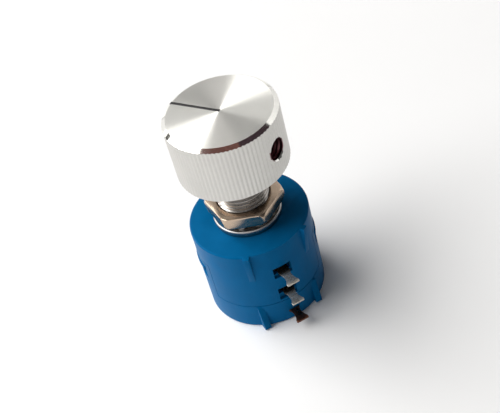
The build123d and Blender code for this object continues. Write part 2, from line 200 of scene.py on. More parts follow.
class PotStageSettings(PropertyGroup):
    floor: colour("Floor", "Colour of the floor", (0.98, 0.98, 0.985))
    dim: factor("Dim side", "Brightness of the room away from the window", 0.03)
    bright: factor("Bright side", "Brightness of the room on its pale side", 0.36)
    shine: FloatProperty(name="Shine", description="Gain of the room in reflections", default=2.75)
    pale_glow: factor("Pale card", "Brightness of the card in the chamfer's far edge", 0.4)
    grey_glow: factor("Grey card", "Brightness of the card in the face's dark fans", 0.22)
    window_power: FloatProperty(
        name="Window", description="Power of the window", default=24.0, unit="POWER"
    )
    window_azimuth: angle("Window azimuth", "Direction of the window", 146)
    window_elevation: angle("Window elevation", "Height of the window", 44)
    window_width: length("Window width", "Width of the window", 1600)
    window_height: length("Window height", "Height of the window's panes", 1100)
    window_distance: length("Window distance", "From the part to the window", 1200)
    pale_azimuth: angle("Pale side azimuth", "Direction of the room's pale side", 180)
    pale_elevation: angle("Pale side elevation", "Height of the room's pale side", 8)
    lens: FloatProperty(name="Lens", description="Focal length", default=77.13, unit="CAMERA")
    distance: length("Distance", "From the camera to the point it turns about", 194.446)
    azimuth: angle("Azimuth", "Camera's direction from -Y, towards +X", -16.3)
    elevation: angle("Elevation", "Camera's height above the horizon", 43.655)
    roll: angle("Roll", "Turn of the camera about its line of sight", -15.884)
    aim_height: length("Aim height", "Height of the point that the camera turns about", 20)
    aim_right: length("Aim right", "Shift of the camera's aim to its right", 0.482)
    aim_up: length("Aim up", "Shift of the camera's aim upwards", 0.446)


# ---------------------------------------------------------------- node tree helpers

class Wiring:
    """Adds nodes to a tree and links them, so that formulas read in order."""

    def __init__(self, tree):
        self.tree = tree

    def add(self, kind, settings=None, inputs=None):
        """New node, with its settings and its inputs by name or number."""
        node = self.tree.nodes.new(kind)
        node.location = (170 * (len(self.tree.nodes) % 12), -220 * (len(self.tree.nodes) // 12))
        for name, value in (settings or {}).items():
            setattr(node, name, value)
        for key, value in (inputs or {}).items():
            self.feed(node.inputs[key], value)
        return node

    def feed(self, socket, value):
        """Link a socket to an output, or set its value."""
        if isinstance(value, bpy.types.NodeSocket):
            self.tree.links.new(value, socket)
        else:
            socket.default_value = value

    def math(self, operation, *values):
        """Output of a Math node."""
        node = self.add("ShaderNodeMath", {"operation": operation}, dict(enumerate(values)))
        return node.outputs[0]

    def vector(self, operation, *values):
        """Output of a Vector Math node."""
        node = self.add("ShaderNodeVectorMath", {"operation": operation}, dict(enumerate(values)))
        return node.outputs["Value" if operation in {"LENGTH", "DOT_PRODUCT"} else "Vector"]

    def xyz(self, x=0.0, y=0.0, z=0.0):
        """Output of a Combine XYZ node."""
        return self.add("ShaderNodeCombineXYZ", inputs={0: x, 1: y, 2: z}).outputs[0]

    def noise(self, place_on, size, detail, distortion=0.0):
        """Output of a Noise Texture whose features are about a given size."""
        scale = self.math("DIVIDE", 1.0, size)
        inputs = {"Vector": place_on, "Scale": scale, "Detail": detail, "Distortion": distortion}
        return self.add("ShaderNodeTexNoise", inputs=inputs).outputs[0]

    def blend(self, share, low, high):
        """Colour that runs from one to another."""
        inputs = {0: share, 6: low, 7: high}
        return self.add("ShaderNodeMix", {"data_type": "RGBA"}, inputs).outputs[2]

    def ramp(self, value, low, high, start=0.0, end=1.0):
        """Value carried from one range to another and clamped."""
        inputs = {"Value": value, "From Min": low, "From Max": high, "To Min": start, "To Max": end}
        return self.add("ShaderNodeMapRange", {"clamp": True}, inputs).outputs["Result"]


def named_group(kind, name, inputs, outputs):
    """Empty node group with its sockets, its wiring and its two end nodes."""
    group = bpy.data.node_groups.new(name, kind)
    for label, socket, default in inputs:
        made = group.interface.new_socket(label, in_out="INPUT", socket_type=socket)
        if default is not None:
            made.default_value = default
    for label, socket in outputs:
        group.interface.new_socket(label, in_out="OUTPUT", socket_type=socket)
    wiring = Wiring(group)
    start = wiring.add("NodeGroupInput")
    end = wiring.add("NodeGroupOutput")
    return group, wiring, start.outputs, end.inputs


def polar(wiring, position):
    """Radius, azimuth and height of a position about Z."""
    split = wiring.add("ShaderNodeSeparateXYZ", inputs={0: position}).outputs
    radius = wiring.vector("LENGTH", wiring.xyz(split[0], split[1]))
    return radius, wiring.math("ARCTAN2", split[1], split[0]), split[2]


# ---------------------------------------------------------------- geometry node trees

def finish_tree(wiring, geometry, material, output):
    """Close a geometry tree with Realize Instances and Set Material."""
    solid = wiring.add("GeometryNodeRealizeInstances", inputs={0: geometry}).outputs[0]
    inputs = {"Geometry": solid, "Material": material}
    wiring.feed(output, wiring.add("GeometryNodeSetMaterial", inputs=inputs).outputs[0])


def pulled_in(wiring, geometry, limit, lift=0.0):
    """Geometry whose points are no further from the Z axis than a limit, and lifted along it."""
    position = wiring.add("GeometryNodeInputPosition").outputs[0]
    radius, _, height = polar(wiring, position)
    safe = wiring.math("MAXIMUM", radius, 1e-9)
    scale = wiring.math("MINIMUM", wiring.math("DIVIDE", limit, safe), 1.0)
    flat = wiring.vector("SUBTRACT", position, wiring.xyz(z=height))
    shrunk = wiring.add("ShaderNodeVectorMath", {"operation": "SCALE"}, {0: flat, "Scale": scale})
    raised = wiring.xyz(z=wiring.math("ADD", height, lift))
    moved = wiring.vector("ADD", shrunk.outputs[0], raised)
    return wiring.add("GeometryNodeSetPosition", inputs={0: geometry, "Position": moved}).outputs[0]


def knurl_tree():
    """Straight knurl: V-shaped flutes parallel to the axis that run out in the two chamfers."""
    inputs = [
        ("Geometry", "NodeSocketGeometry", None),
        ("Flutes", "NodeSocketInt", 80),
        ("Flute Depth", "NodeSocketFloat", 0.1 * MM),
        ("Outer Radius", "NodeSocketFloat", 10 * MM),
        ("Upper Edge", "NodeSocketFloat", 40 * MM),
        ("Upper Slope", "NodeSocketFloat", 1.0),
        ("Lower Edge", "NodeSocketFloat", 30 * MM),
        ("Lower Slope", "NodeSocketFloat", 1.0),
        ("Material", "NodeSocketMaterial", None),
    ]
    group, w, given, out = named_group(
        "GeometryNodeTree", "Straight Knurl", inputs, [("Geometry", "NodeSocketGeometry")]
    )
    position = w.add("GeometryNodeInputPosition").outputs[0]
    radius, azimuth, height = polar(w, position)
    turn = w.math("DIVIDE", w.math("MULTIPLY", azimuth, given["Flutes"]), 2 * math.pi)
    crest = w.math("ABSOLUTE", w.math("SUBTRACT", w.math("FRACT", turn), 0.5))
    share = w.math("SUBTRACT", 1.0, w.math("MULTIPLY", crest, 2.0))
    cut = w.math("MULTIPLY", share, given["Flute Depth"])
    slack = 1e-3 * MM
    on_rim = w.math("GREATER_THAN", radius, w.math("SUBTRACT", given["Outer Radius"], slack))
    above = w.math("GREATER_THAN", height, w.math("SUBTRACT", given["Upper Edge"], slack))
    below = w.math("LESS_THAN", height, w.math("ADD", given["Lower Edge"], slack))
    upwards = w.math("MULTIPLY", above, given["Upper Slope"])
    slope = w.math("SUBTRACT", upwards, w.math("MULTIPLY", below, given["Lower Slope"]))
    inwards = w.math("MULTIPLY", cut, on_rim)
    limit = w.math("SUBTRACT", given["Outer Radius"], inwards)
    fluted = pulled_in(w, given["Geometry"], limit, w.math("MULTIPLY", slope, inwards))
    finish_tree(w, fluted, given["Material"], out["Geometry"])
    return group


def thread_tree():
    """Right-hand V thread: a ridge swept along a helix, trimmed by the lead-in at its free end."""
    inputs = [
        ("Geometry", "NodeSocketGeometry", None),
        ("Pitch", "NodeSocketFloat", 0.8 * MM),
        ("Root Radius", "NodeSocketFloat", 4.3 * MM),
        ("Major Radius", "NodeSocketFloat", 4.76 * MM),
        ("Crest", "NodeSocketFloat", 0.12 * MM),
        ("Start", "NodeSocketFloat", 0.0),
        ("End", "NodeSocketFloat", 10 * MM),
        ("Free End", "NodeSocketFloat", 10 * MM),
        ("Lead In", "NodeSocketFloat", 0.4 * MM),
        ("Material", "NodeSocketMaterial", None),
    ]
    group, w, given, out = named_group(
        "GeometryNodeTree", "Screw Thread", inputs, [("Geometry", "NodeSocketGeometry")]
    )
    span = w.math("SUBTRACT", given["End"], given["Start"])
    root = given["Root Radius"]
    helix = w.add(
        "GeometryNodeCurveSpiral",
        inputs={
            "Resolution": 64,
            "Rotations": w.math("DIVIDE", span, given["Pitch"]),
            "Start Radius": root,
            "End Radius": root,
            "Height": span,
            "Reverse": True,
        },
    ).outputs[0]
    lifted = {"Geometry": helix, "Translation": w.xyz(z=given["Start"])}
    raised = w.add("GeometryNodeTransform", inputs=lifted).outputs[0]
    upright = w.add("GeometryNodeSetCurveNormal", {"mode": "Z_UP"}, {"Curve": raised}).outputs[0]
    half_root = w.math("MULTIPLY", given["Pitch"], 0.49)
    half_crest = w.math("MULTIPLY", given["Crest"], 0.5)
    depth = w.math("SUBTRACT", given["Major Radius"], root)
    buried = w.math("MULTIPLY", depth, -0.3)
    section = w.add("GeometryNodeCurvePrimitiveQuadrilateral", {"mode": "POINTS"})
    corners = ((depth, half_crest), (depth, w.math("MULTIPLY", half_crest, -1.0)))
    corners += ((buried, w.math("MULTIPLY", half_root, -1.0)), (buried, half_root))
    for number, (across, along) in enumerate(corners, 1):
        w.feed(section.inputs[f"Point {number}"], w.xyz(across, along))
    ridge = w.add(
        "GeometryNodeCurveToMesh",
        inputs={"Curve": upright, "Profile Curve": section.outputs[0], "Fill Caps": True},
    ).outputs[0]
    _, _, height = polar(w, w.add("GeometryNodeInputPosition").outputs[0])
    room = w.math("SUBTRACT", given["Free End"], height)
    cone = w.math("ADD", w.math("SUBTRACT", given["Major Radius"], given["Lead In"]), room)
    trimmed = pulled_in(w, ridge, w.math("MINIMUM", cone, given["Major Radius"]))
    joined = w.add("GeometryNodeJoinGeometry")
    w.feed(joined.inputs[0], given["Geometry"])
    w.feed(joined.inputs[0], trimmed)
    finish_tree(w, joined.outputs[0], given["Material"], out["Geometry"])
    return group


def teeth_tree():
    """Inward teeth of a lock washer, each twisted about its radius, joined to the given ring."""
    inputs = [
        ("Geometry", "NodeSocketGeometry", None),
        ("Teeth", "NodeSocketInt", 10),
        ("Tip Radius", "NodeSocketFloat", 5 * MM),
        ("Root Radius", "NodeSocketFloat", 5.6 * MM),
        ("Width", "NodeSocketFloat", 2 * MM),
        ("Thickness", "NodeSocketFloat", 0.45 * MM),
        ("Height", "NodeSocketFloat", 20 * MM),
        ("Twist", "NodeSocketFloat", 0.7),
        ("First Azimuth", "NodeSocketFloat", 0.0),
        ("Material", "NodeSocketMaterial", None),
    ]
    group, w, given, out = named_group(
        "GeometryNodeTree", "Washer Teeth", inputs, [("Geometry", "NodeSocketGeometry")]
    )
    reach = w.math("SUBTRACT", given["Root Radius"], given["Tip Radius"])
    size = w.xyz(reach, given["Width"], given["Thickness"])
    counts = {"Vertices X": 5, "Vertices Y": 5, "Vertices Z": 3}
    blank = w.add("GeometryNodeMeshCube", inputs={"Size": size, **counts}).outputs["Mesh"]
    position = w.add("GeometryNodeInputPosition").outputs[0]
    turned = w.add(
        "ShaderNodeVectorRotate",
        {"rotation_type": "AXIS_ANGLE"},
        {"Vector": position, "Axis": (1, 0, 0), "Angle": given["Twist"]},
    ).outputs[0]
    middle = w.math("DIVIDE", w.math("ADD", given["Root Radius"], given["Tip Radius"]), 2.0)
    moved = w.vector("ADD", turned, w.xyz(middle, z=given["Height"]))
    tooth = w.add("GeometryNodeSetPosition", inputs={0: blank, "Position": moved}).outputs[0]
    line = {"Count": given["Teeth"], "Offset": (0, 0, 0)}
    points = w.add("GeometryNodeMeshLine", inputs=line).outputs[0]
    index = w.add("GeometryNodeInputIndex").outputs[0]
    step = w.math("DIVIDE", 2 * math.pi, given["Teeth"])
    azimuth = w.math("ADD", w.math("MULTIPLY", index, step), given["First Azimuth"])
    copies = {"Points": points, "Instance": tooth, "Rotation": w.xyz(z=azimuth)}
    ring = w.add("GeometryNodeInstanceOnPoints", inputs=copies).outputs[0]
    joined = w.add("GeometryNodeJoinGeometry")
    w.feed(joined.inputs[0], given["Geometry"])
    w.feed(joined.inputs[0], ring)
    finish_tree(w, joined.outputs[0], given["Material"], out["Geometry"])
    return group


def run_tree(tree, base, values):
    """Plain mesh that a geometry tree makes from a base mesh."""
    carrier = linked("carrier", base)
    modifier = carrier.modifiers.new("tree", "NODES")
    modifier.node_group = tree
    for item in tree.interface.items_tree:
        if item.in_out == "INPUT" and item.name in values:
            modifier[item.identifier] = values[item.name]
    return plain_mesh(carrier)


# ---------------------------------------------------------------- mesh helpers

def finished(model, name):
    """Mesh made from a bmesh, which is then freed."""
    mesh = bpy.data.meshes.new(name)
    model.to_mesh(mesh)
    model.free()
    return mesh


def linked(name, data):
    """New object in the scene."""
    made = bpy.data.objects.new(name, data)
    bpy.context.scene.collection.objects.link(made)
    return made


def plain_mesh(carrier):
    """Evaluated mesh of an object with modifiers; the object itself is removed."""
    graph = bpy.context.evaluated_depsgraph_get()
    graph.update()
    mesh = bpy.data.meshes.new_from_object(carrier.evaluated_get(graph), depsgraph=graph)
    carrier.modifiers.clear()
    bpy.data.objects.remove(carrier)
    return mesh


def softened(outline, size, steps=3):
    """Outline whose inner corners are rounded by a short curve."""
    points = [Vector(p) for p in outline]
    soft = [points[0]]
    for before, corner, after in zip(points, points[1:], points[2:]):
        reach_in = min(size, (before - corner).length * 0.45)
        reach_out = min(size, (after - corner).length * 0.45)
        start = corner + (before - corner).normalized() * reach_in
        end = corner + (after - corner).normalized() * reach_out
        for step in range(steps + 1):
            t = step / steps
            soft.append(start.lerp(corner, t).lerp(corner.lerp(end, t), t))
    soft.append(points[-1])
    return soft


def stepped(outline, longest):
    """Outline with extra points, so that no stretch is longer than a limit."""
    points = [Vector(p) for p in outline]
    fine = [points[0]]
    for start, end in zip(points, points[1:]):
        count = max(1, math.ceil((end - start).length / longest))
        fine.extend(start.lerp(end, step / count) for step in range(1, count + 1))
    return fine


def lathe(name, outline, segments):
    """Closed surface of revolution about Z from (radius, height) points."""
    model = bmesh.new()
    rings = []
    for radius, height in outline:
        if radius < 1e-7:
            rings.append([model.verts.new((0, 0, height))] * segments)
            continue
        turn = (2 * math.pi * k / segments for k in range(segments))
        ring = ((radius * math.cos(a), radius * math.sin(a), height) for a in turn)
        rings.append([model.verts.new(point) for point in ring])
    for lower, upper in zip(rings, rings[1:]):
        for k in range(segments):
            loop = [lower[k], lower[k - 1], upper[k - 1], upper[k]]
            model.faces.new(list(dict.fromkeys(loop)))
    bmesh.ops.remove_doubles(model, verts=model.verts, dist=1e-7)
    bmesh.ops.recalc_face_normals(model, faces=model.faces)
    return finished(model, name)


def merged_copy(node):
    """Copy of a CAD node's mesh with its loose triangles merged into whole faces."""
    model = bmesh.new()
    model.from_mesh(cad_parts[node].data)
    bmesh.ops.remove_doubles(model, verts=model.verts, dist=1e-6)
    flat = math.radians(0.3)
    bmesh.ops.dissolve_limit(model, angle_limit=flat, verts=model.verts, edges=model.edges)
    return finished(model, node)


def broken_edges(node, size):
    """Copy of a CAD node's mesh with a small rounding on every sharp edge."""
    carrier = linked("carrier", merged_copy(node))
    bevel = carrier.modifiers.new("edges", "BEVEL")
    bevel.width = size
    bevel.segments = 2
    bevel.limit_method = "ANGLE"
    bevel.angle_limit = math.radians(25)
    bevel.use_clamp_overlap = True
    carrier.modifiers.new("normals", "WEIGHTED_NORMAL").keep_sharp = True
    return plain_mesh(carrier)


def carved(mesh, *cutters):
    """Mesh with the cutters' solids taken away."""
    carrier = linked("carrier", mesh)
    tools = []
    for cutter in cutters:
        tool = linked("cutter", cutter)
        cut = carrier.modifiers.new("cut", "BOOLEAN")
        cut.operation = "DIFFERENCE"
        cut.solver = "EXACT"
        cut.object = tool
        tools.append(tool)
    result = plain_mesh(carrier)
    for tool in tools:
        bpy.data.objects.remove(tool)
    return result


def radial(mesh, azimuth, height):
    """Turn a mesh made along Z so that it lies along a radius at a height."""
    facing = Matrix.Rotation(azimuth, 4, "Z") @ Matrix.Rotation(math.pi / 2, 4, "Y")
    mesh.transform(Matrix.Translation((0, 0, height)) @ facing)
    return mesh


def bar(name, low, high, azimuth):
    """Box between two corners, turned about Z."""
    model = bmesh.new()
    bmesh.ops.create_cube(model, size=1)
    size = Vector(high) - Vector(low)
    centre = (Vector(high) + Vector(low)) / 2
    bmesh.ops.transform(
        model, verts=model.verts, matrix=Matrix.Translation(centre) @ Matrix.Diagonal((*size, 1))
    )
    bmesh.ops.rotate(model, verts=model.verts, matrix=Matrix.Rotation(azimuth, 3, "Z"))
    return finished(model, name)


def place(name, mesh, body, materials, replaced=(), sharp=32):
    """Show a finished mesh as a piece that rides on a body."""
    mesh.name = name
    mesh.materials.clear()
    for material in materials:
        mesh.materials.append(material)
    mesh.set_sharp_from_angle(angle=math.radians(sharp))
    piece = linked(name, mesh)
    if replaced:
        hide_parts(*replaced)
    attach(piece, body)
    return piece


def paint_node(node, material):
    """Give a CAD node that stays in view its finish."""
    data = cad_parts[node].data
    data.materials.clear()
    data.materials.append(material)
    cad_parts[node].color = (1, 1, 1, 1)


# ---------------------------------------------------------------- shader groups

def shared_group(name, build):
    """Shader group by name, built once."""
    return bpy.data.node_groups.get(name) or build(name)


def grain_group(name):
    """Fine moulded grain and slow unevenness, as a height and a mask."""
    inputs = [
        ("Grain Size", "NodeSocketFloat", 0.1 * MM),
        ("Patch Size", "NodeSocketFloat", 4 * MM),
    ]
    outputs = [("Height", "NodeSocketFloat"), ("Patches", "NodeSocketFloat")]
    group, w, given, out = named_group("ShaderNodeTree", name, inputs, outputs)
    place_on = w.add("ShaderNodeTexCoord").outputs["Object"]
    w.feed(out["Height"], w.noise(place_on, given["Grain Size"], 2.0))
    w.feed(out["Patches"], w.ramp(w.noise(place_on, given["Patch Size"], 3.0), 0.3, 0.7))
    return group


def turning_group(name):
    """Rings that a lathe tool leaves: by radius on faces and by height on sides."""
    inputs = [("Ring Width", "NodeSocketFloat", 0.1 * MM)]
    outputs = [("Face Rings", "NodeSocketFloat"), ("Side Rings", "NodeSocketFloat")]
    group, w, given, out = named_group("ShaderNodeTree", name, inputs, outputs)
    radius, _, height = polar(w, w.add("ShaderNodeTexCoord").outputs["Object"])
    for socket, across in (("Face Rings", radius), ("Side Rings", height)):
        rings = w.add(
            "ShaderNodeTexNoise",
            {"noise_dimensions": "1D"},
            {"W": w.math("DIVIDE", across, given["Ring Width"]), "Scale": 1.0, "Detail": 3.0},
        ).outputs[0]
        w.feed(out[socket], rings)
    return group


def handling_group(name):
    """Smears and fine marks that handling leaves on metal."""
    inputs = [("Smear Size", "NodeSocketFloat", 5 * MM)]
    outputs = [("Smears", "NodeSocketFloat")]
    group, w, given, out = named_group("ShaderNodeTree", name, inputs, outputs)
    place_on = w.add("ShaderNodeTexCoord").outputs["Object"]
    smear = w.noise(place_on, given["Smear Size"], 6.0, distortion=0.8)
    w.feed(out["Smears"], w.ramp(smear, 0.35, 0.75))
    return group


def use_group(wiring, name, build, **inputs):
    """Place a shared group in a material with its own values."""
    node = wiring.add("ShaderNodeGroup", {"node_tree": shared_group(name, build)})
    for key, value in inputs.items():
        wiring.feed(node.inputs[key.replace("_", " ").title()], value)
    return node.outputs


# ---------------------------------------------------------------- materials

def new_material(name, base, metallic, roughness):
    """Principled material with plain starting values, and its wiring."""
    material = bpy.data.materials.new(name)
    material.use_nodes = True
    material.diffuse_color = (*base, 1)
    shader = material.node_tree.nodes["Principled BSDF"]
    shader.inputs["Base Color"].default_value = (*base, 1)
    shader.inputs["Metallic"].default_value = metallic
    shader.inputs["Roughness"].default_value = roughness
    return material, Wiring(material.node_tree), shader.inputs


def shaded(wiring, base, mask, dark, light):
    """Base colour that runs from a darker to a lighter tone by a mask."""
    low, high = ((*[min(1, c * times) for c in base], 1) for times in (dark, light))
    return wiring.blend(mask, low, high)


def bumped(wiring, height, depth, normal=None):
    """Normal from a height that is a given depth from low to high."""
    inputs = {"Height": height, "Distance": depth, "Strength": 1.0}
    if normal is not None:
        inputs["Normal"] = normal
    return wiring.add("ShaderNodeBump", inputs=inputs).outputs[0]


def moulded_plastic(name, base, roughness):
    """Satin moulded plastic with a fine grain."""
    material, w, shader = new_material(name, base, 0.0, roughness)
    shader["Specular IOR Level"].default_value = 0.08
    shader["Specular Tint"].default_value = (*[c / max(base) for c in base], 1)
    grain = use_group(w, "Moulded Grain", grain_group, grain_size=0.09 * MM, patch_size=3.5 * MM)
    w.feed(shader["Base Color"], shaded(w, base, grain["Patches"], 0.94, 1.06))
    w.feed(shader["Roughness"], w.ramp(grain["Patches"], 0, 1, roughness - 0.04, roughness + 0.05))
    slow = bumped(w, grain["Patches"], 0.012 * MM)
    w.feed(shader["Normal"], bumped(w, grain["Height"], 0.004 * MM, slow))
    return material


def plated_metal(name, base, roughness, rings, depth):
    """Turned and plated metal: lathe rings on its faces, smears from handling."""
    material, w, shader = new_material(name, base, 1.0, roughness)
    turned = use_group(w, "Turning Marks", turning_group, ring_width=rings)
    smears = use_group(w, "Handling Smears", handling_group, smear_size=3 * MM)["Smears"]
    w.feed(shader["Base Color"], shaded(w, base, smears, 0.93, 1.05))
    w.feed(shader["Roughness"], w.ramp(smears, 0, 1, roughness - 0.03, roughness + 0.08))
    w.feed(shader["Normal"], bumped(w, turned["Face Rings"], depth))
    return material


def strip_metal(name, base, roughness, metallic=1.0):
    """Rolled and sheared strip, with slight unevenness; a dull coat makes it less metallic."""
    material, w, shader = new_material(name, base, metallic, roughness)
    smears = use_group(w, "Handling Smears", handling_group, smear_size=1.2 * MM)["Smears"]
    w.feed(shader["Base Color"], shaded(w, base, smears, 0.88, 1.06))
    w.feed(shader["Roughness"], w.ramp(smears, 0, 1, roughness - 0.04, roughness + 0.12))
    w.feed(shader["Normal"], bumped(w, smears, 0.01 * MM))
    return material


def tinned_strip(name, base, painted_shade_radius):
    """Tinned strip painted dark nearer the axis than a radius: painted shade where the lugs sit in
    the housing's windows.
    """
    material = strip_metal(name, base, 0.25, 0.7)
    w = Wiring(material.node_tree)
    tone = material.node_tree.nodes["Principled BSDF"].inputs["Base Color"]
    tinned = tone.links[0].from_socket
    radius, _, _ = polar(w, w.add("ShaderNodeTexCoord").outputs["Object"])
    fade = 0.8 * MM
    # Inside the radius the tone is painted shade.
    outside_shade = w.ramp(radius, painted_shade_radius, painted_shade_radius + fade)
    w.feed(tone, w.blend(outside_shade, (*[0.1 * c for c in base], 1), tinned))
    return material


def spun_face(name, base):
    """Aluminium face brushed in circles: its highlights fan out from the centre."""
    material, w, shader = new_material(name, base, 1.0, 0.3)
    rings = use_group(w, "Turning Marks", turning_group, ring_width=0.11 * MM)["Face Rings"]
    w.feed(shader["Base Color"], shaded(w, base, rings, 0.96, 1.03))
    w.feed(shader["Roughness"], w.ramp(rings, 0.2, 0.8, 0.27, 0.36))
    w.feed(shader["Normal"], bumped(w, rings, 0.0006 * MM))
    shader["Anisotropic"].default_value = 1.0
    shader["Anisotropic Rotation"].default_value = 0.25
    round_z = w.add("ShaderNodeTangent", {"direction_type": "RADIAL", "axis": "Z"}).outputs[0]
    w.feed(shader["Tangent"], round_z)
    return material


def polished_chamfer(name, base):
    """Diamond-cut chamfer, nearly a mirror."""
    material, w, shader = new_material(name, base, 1.0, 0.07)
    rings = use_group(w, "Turning Marks", turning_group, ring_width=0.06 * MM)["Face Rings"]
    w.feed(shader["Roughness"], w.ramp(rings, 0.2, 0.8, 0.05, 0.12))
    w.feed(shader["Base Color"], shaded(w, base, rings, 0.97, 1.03))
    return material


def knurled_side(name, base):
    """Satin anodised side of the knob."""
    material, w, shader = new_material(name, base, 1.0, 0.36)
    grain = use_group(w, "Moulded Grain", grain_group, grain_size=0.08 * MM, patch_size=3 * MM)
    w.feed(shader["Base Color"], shaded(w, base, grain["Patches"], 0.97, 1.03))
    w.feed(shader["Roughness"], w.ramp(grain["Patches"], 0, 1, 0.33, 0.4))
    w.feed(shader["Normal"], bumped(w, grain["Height"], 0.003 * MM))
    return material


def wound_wire(name, base):
    """Fine winding on a round core: ridges across the core, all the way round the bore."""
    material, w, shader = new_material(name, base, 1.0, 0.35)
    _, azimuth, _ = polar(w, w.add("ShaderNodeTexCoord").outputs["Object"])
    turns_per_radian = 90
    ridges = w.math("SINE", w.math("MULTIPLY", azimuth, turns_per_radian))
    # The colour follows the ridges: painted shade in the grooves between turns and a painted
    # highlight on the crests.
    w.feed(shader["Base Color"], shaded(w, base, w.ramp(ridges, -1, 1), 0.6, 1.15))
    w.feed(shader["Normal"], bumped(w, ridges, 0.03 * MM))
    return material


def engraving_paint(name, base):
    """Matt paint in the engraved line."""
    material, w, shader = new_material(name, base, 0.0, 0.5)
    grain = use_group(w, "Moulded Grain", grain_group, grain_size=0.05 * MM, patch_size=1 * MM)
    w.feed(shader["Base Color"], shaded(w, base, grain["Patches"], 0.8, 1.3))
    w.feed(shader["Normal"], bumped(w, grain["Height"], 0.004 * MM))
    return material


# ---------------------------------------------------------------- operators

class POT_OT_housing(Operator):
    """Make the front housing and the rear cover with broken edges and a moulded finish"""

    bl_idname = "pot.housing"
    bl_label = "Housing"

    def execute(self, context):
        settings = context.scene.pot_housing
        plastic = moulded_plastic("housing_plastic", settings.plastic, settings.roughness)
        for node in ("front_housing", "rear_cover"):
            mesh = broken_edges(node, settings.edge)
            place(node + "_shell", mesh, HOUSING, [plastic], [node])
        return {"FINISHED"}


class POT_OT_bushing(Operator):
    """Make the bushing with its thread, shoulder, hub and bore"""

    bl_idname = "pot.bushing"
    bl_label = "Bushing"

    def execute(self, context):
        settings = context.scene.pot_bushing
        nickel = plated_metal("bushing_nickel", settings.nickel, 0.2, 0.2 * MM, 0.0015 * MM)
        low, high = low_z("bushing"), high_z("bushing")
        front = high_z("front_housing")
        shoulder = low_z("lock_washer") - WASHER_GAP
        shoulder_radius = outer_radius("bushing")
        hub_radius = rim_radius("bushing", low, max)
        bore = rim_radius("bushing", high, min)
        major = rim_radius("bushing", high - settings.chamfer, max)
        root = major - settings.depth
        solid = [(bore, low), (hub_radius, low), (hub_radius, front), (shoulder_radius, front)]
        solid += [(shoulder_radius, shoulder), (root, shoulder), (root, high)]
        solid += [(bore, high), (bore, low)]
        values = {
            "Pitch": settings.pitch,
            "Root Radius": root,
            "Major Radius": major,
            "Crest": settings.crest,
            "Start": shoulder + settings.pitch / 2,
            "End": high - settings.pitch / 2,
            "Free End": high,
            "Lead In": settings.chamfer,
            "Material": nickel,
        }
        barrel = lathe("barrel", softened(solid, settings.edge), settings.segments)
        mesh = run_tree(thread_tree(), barrel, values)
        place("threaded_bushing", mesh, HOUSING, [nickel], ["bushing"])
        return {"FINISHED"}


class POT_OT_hardware(Operator):
    """Make the panel nut and the internal-tooth lock washer"""

    bl_idname = "pot.hardware"
    bl_label = "Nut and washer"

    def execute(self, context):
        settings = context.scene.pot_hardware
        nickel = plated_metal("nut_nickel", settings.nickel, 0.2, 0.15 * MM, 0.003 * MM)
        steel = plated_metal("washer_steel", settings.steel, 0.36, 0.12 * MM, 0.002 * MM)
        nut = broken_edges("hex_nut", settings.edge)
        place("panel_nut", nut, HOUSING, [nickel], ["hex_nut"])
        low = low_z("lock_washer")
        high = low + settings.ring_height
        outer = outer_radius("lock_washer")
        inner = settings.ring_bore
        cut = settings.ring_chamfer
        ring = [(inner, low), (outer, low), (outer, high - cut), (outer - cut, high)]
        ring += [(inner, high), (inner, low)]
        base = lathe("ring", softened(ring, settings.edge), context.scene.pot_bushing.segments)
        values = {
            "Teeth": settings.teeth,
            "Tip Radius": settings.tooth_tip,
            "Root Radius": inner + TOOTH_OVERLAP,
            "Width": settings.tooth_width,
            "Thickness": settings.tooth_thickness,
            "Height": mid_z("lock_washer"),
            "Twist": settings.twist,
            "First Azimuth": -math.pi / 2,
            "Material": steel,
        }
        mesh = run_tree(teeth_tree(), base, values)
        place("tooth_washer", mesh, HOUSING, [steel], ["lock_washer"])
        return {"FINISHED"}


class POT_OT_knob(Operator):
    """Make the knurled knob with its set screw hole, and the painted pointer line"""

    bl_idname = "pot.knob"
    bl_label = "Knob"

    def execute(self, context):
        settings = context.scene.pot_knob
        side = knurled_side("knob_side", settings.aluminium)
        face = spun_face("knob_face", settings.brushed)
        chamfer = polished_chamfer("knob_chamfer", settings.brushed)
        # The hole's dark colour is painted shade in the recess.
        tapped = plated_metal("knob_hole", settings.hole, 0.3, 0.1 * MM, 0.001 * MM)
        mesh = carved(knob_blank(settings, side), screw_hole(settings), pointer_groove(settings))
        finishes = [side, face, chamfer, tapped]
        piece = place(
            "knurled_knob", mesh, SHAFT_ASSEMBLY, finishes, ["knob"], sharp=20
        )
        paint_knob_faces(piece.data, settings)
        paint = engraving_paint("pointer_paint", settings.paint)
        place("pointer_line", pointer_fill(settings), SHAFT_ASSEMBLY, [paint])
        return {"FINISHED"}


def knob_blank(settings, material):
    """Turned and knurled knob, before its hole and its pointer are cut."""
    low, high = low_z("knob"), high_z("knob")
    radius = outer_radius("knob")
    bore = rim_radius("knob", low + settings.recess_depth, min)
    recess = rim_radius("knob", low, min)
    bore_top = high_z("shaft") + BORE_CLEARANCE
    ceiling = low + settings.recess_depth
    upper_edge = high - settings.chamfer_height
    lower_edge = low + settings.lower_chamfer
    outline = [(0, high), (radius - settings.chamfer_width, high), (radius, upper_edge)]
    outline += [(radius, lower_edge), (radius - settings.lower_chamfer, low), (recess, low)]
    outline += [(recess, ceiling), (bore, ceiling), (bore, bore_top), (0, bore_top)]
    values = {
        "Flutes": settings.flutes,
        "Flute Depth": settings.flute_depth,
        "Outer Radius": radius,
        "Upper Edge": upper_edge,
        "Upper Slope": settings.chamfer_height / settings.chamfer_width,
        "Lower Edge": lower_edge,
        "Lower Slope": 1.0,
        "Material": material,
    }
    samples_per_flute = 6
    longest_face = 1.6 * MM
    blank = lathe("knob", stepped(outline, longest_face), settings.flutes * samples_per_flute)
    return run_tree(knurl_tree(), blank, values)


